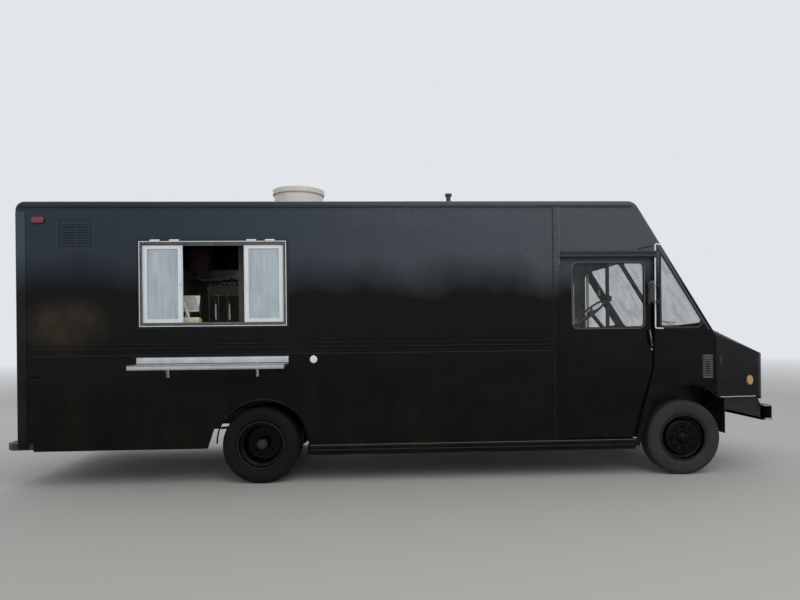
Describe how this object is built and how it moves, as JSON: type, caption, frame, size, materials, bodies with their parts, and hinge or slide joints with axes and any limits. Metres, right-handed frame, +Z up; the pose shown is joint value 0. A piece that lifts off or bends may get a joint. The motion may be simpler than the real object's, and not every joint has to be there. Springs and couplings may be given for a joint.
{
  "type": "step-van food truck",
  "caption": "Black walk-in step van fitted as a food truck: sliding serving window with fold-down shelf, sliding cab doors, tilting hood, twin rear wheels.",
  "frame": {"origin": "on the ground, in the middle of the whole truck's length and width", "axes": "+X forward along the truck, +Y to the driver's side, +Z up"},
  "size_m": [8.188, 2.9798, 3.3549],
  "materials": {
    "body_paint": "gloss black enamel over sheet",
    "chassis_paint": "satin black chassis paint",
    "axle_iron": "dull, dusty",
    "wheel_paint": "satin black",
    "tyre": "worn rubber",
    "bare_aluminium": "mill finish",
    "window_white": "satin white",
    "clear_glass": "clear",
    "dark_glass": "tinted",
    "screen_glass": "dusty, with insect screen behind",
    "red_lens": "ribbed",
    "lamp_lens": "clear",
    "black_plastic": "moulded",
    "grey_trim": "moulded",
    "fan_paint": "off-white, weathered",
    "stainless": "brushed",
    "floor_board": "coated ply",
    "seat_vinyl": "vinyl",
    "white_plastic": "gloss"
  },
  "bodies": {
    "truck": {"chassis_frame": "chassis_paint", "engine_block": "axle_iron", "radiator": "black_plastic", "leaf_springs": "chassis_paint", "front_axle": "axle_iron", "rear_axle": "axle_iron", "fuel_tank": "chassis_paint", "exhaust_system": "axle_iron", "floor_pan": "floor_board", "engine_cover": "grey_trim", "rocker_rails": "body_paint", "side_wall_right": "body_paint", "side_wall_left": "body_paint", "cab_sides": "body_paint", "roof_panel": "body_paint", "windscreen_surround": "body_paint", "cab_glass": "clear_glass", "rear_frame": "body_paint", "body_louvres": "body_paint", "front_bumper": "chassis_paint", "rear_bumper": "chassis_paint", "body_lamps": "red_lens", "window_frame": "window_white", "window_sashes": "window_white", "sash_glass": "screen_glass", "shelf_rail": "bare_aluminium", "exhaust_fan": "fan_paint", "mirrors": "black_plastic", "dashboard": "grey_trim", "steering_wheel": "black_plastic", "driver_seat": "seat_vinyl", "service_counter": "stainless", "kitchen_line": "stainless", "till_tablet": "white_plastic"},
    "hood_unit": {"hood": "body_paint", "grille": "black_plastic", "front_lamps": "lamp_lens"},
    "shelf": {"serving_shelf": "bare_aluminium"},
    "stays": {"shelf_stays": "bare_aluminium"},
    "cab_door_right": {"cab_door_right": "body_paint", "cab_door_glass_right": "clear_glass"},
    "rear_door_right": {"rear_door_right": "body_paint", "rear_glass_right": "dark_glass"},
    "knuckle_right": {"knuckle_right": "axle_iron"},
    "front_wheel_right": {"front_rim_right": "wheel_paint", "front_tyre_right": "tyre"},
    "rear_wheels_right": {"rear_rims_right": "wheel_paint", "rear_tyres_right": "tyre"},
    "cab_door_left": {"cab_door_left": "body_paint", "cab_door_glass_left": "clear_glass"},
    "rear_door_left": {"rear_door_left": "body_paint", "rear_glass_left": "dark_glass"},
    "knuckle_left": {"knuckle_left": "axle_iron"},
    "front_wheel_left": {"front_rim_left": "wheel_paint", "front_tyre_left": "tyre"},
    "rear_wheels_left": {"rear_rims_left": "wheel_paint", "rear_tyres_left": "tyre"}
  },
  "joints": [
    {"name": "steer_left", "type": "hinge", "parent": "truck", "child": "knuckle_left", "pos_m": [3.1, 0.9075, 0.383], "axis": [0, 0, 1], "range_deg": [-35, 35]},
    {"name": "front_spin_left", "type": "hinge", "parent": "knuckle_left", "child": "front_wheel_left", "pos_m": [3.1, 1.0255, 0.403], "axis": [0, 1, 0], "continuous": true},
    {"name": "rear_spin_left", "type": "hinge", "parent": "truck", "child": "rear_wheels_left", "pos_m": [-1.476, 1.0255, 0.403], "axis": [0, 1, 0], "continuous": true},
    {"name": "cab_door_left_slide", "type": "slide", "parent": "truck", "child": "cab_door_left", "axis": [-1, 0, 0], "range_m": [0, 0.8]},
    {"name": "rear_door_left_swing", "type": "hinge", "parent": "truck", "child": "rear_door_left", "pos_m": [-3.993, 0.727, 1.7], "axis": [0, 0, -1], "range_deg": [0, 170]},
    {"name": "steer_right", "type": "hinge", "parent": "truck", "child": "knuckle_right", "pos_m": [3.1, -0.9075, 0.383], "axis": [0, 0, 1], "range_deg": [-35, 35]},
    {"name": "front_spin_right", "type": "hinge", "parent": "knuckle_right", "child": "front_wheel_right", "pos_m": [3.1, -1.0255, 0.403], "axis": [0, 1, 0], "continuous": true},
    {"name": "rear_spin_right", "type": "hinge", "parent": "truck", "child": "rear_wheels_right", "pos_m": [-1.476, -1.0255, 0.403], "axis": [0, 1, 0], "continuous": true},
    {"name": "cab_door_right_slide", "type": "slide", "parent": "truck", "child": "cab_door_right", "axis": [-1, 0, 0], "range_m": [0, 0.8]},
    {"name": "rear_door_right_swing", "type": "hinge", "parent": "truck", "child": "rear_door_right", "pos_m": [-3.993, -0.727, 1.7], "axis": [0, 0, 1], "range_deg": [0, 170]},
    {"name": "hood_tilt", "type": "hinge", "parent": "truck", "child": "hood_unit", "pos_m": [3.974, 0, 0.79], "axis": [0, 1, 0], "range_deg": [0, 55]},
    {"name": "shelf_fold", "type": "hinge", "parent": "truck", "child": "shelf", "pos_m": [-1.953, -1.184, 1.273], "axis": [1, 0, 0], "range_deg": [0, 80]},
    {"name": "stay_fold", "type": "hinge", "parent": "shelf", "child": "stays", "pos_m": [-1.953, -1.284, 1.26], "axis": [1, 0, 0], "range_deg": [-135, 0]}
  ],
  "couplings": [
    {"joint": "steer_right", "follows": "steer_left", "ratio": 1},
    {"joint": "stay_fold", "follows": "shelf_fold", "ratio": -1.6875}
  ]
}
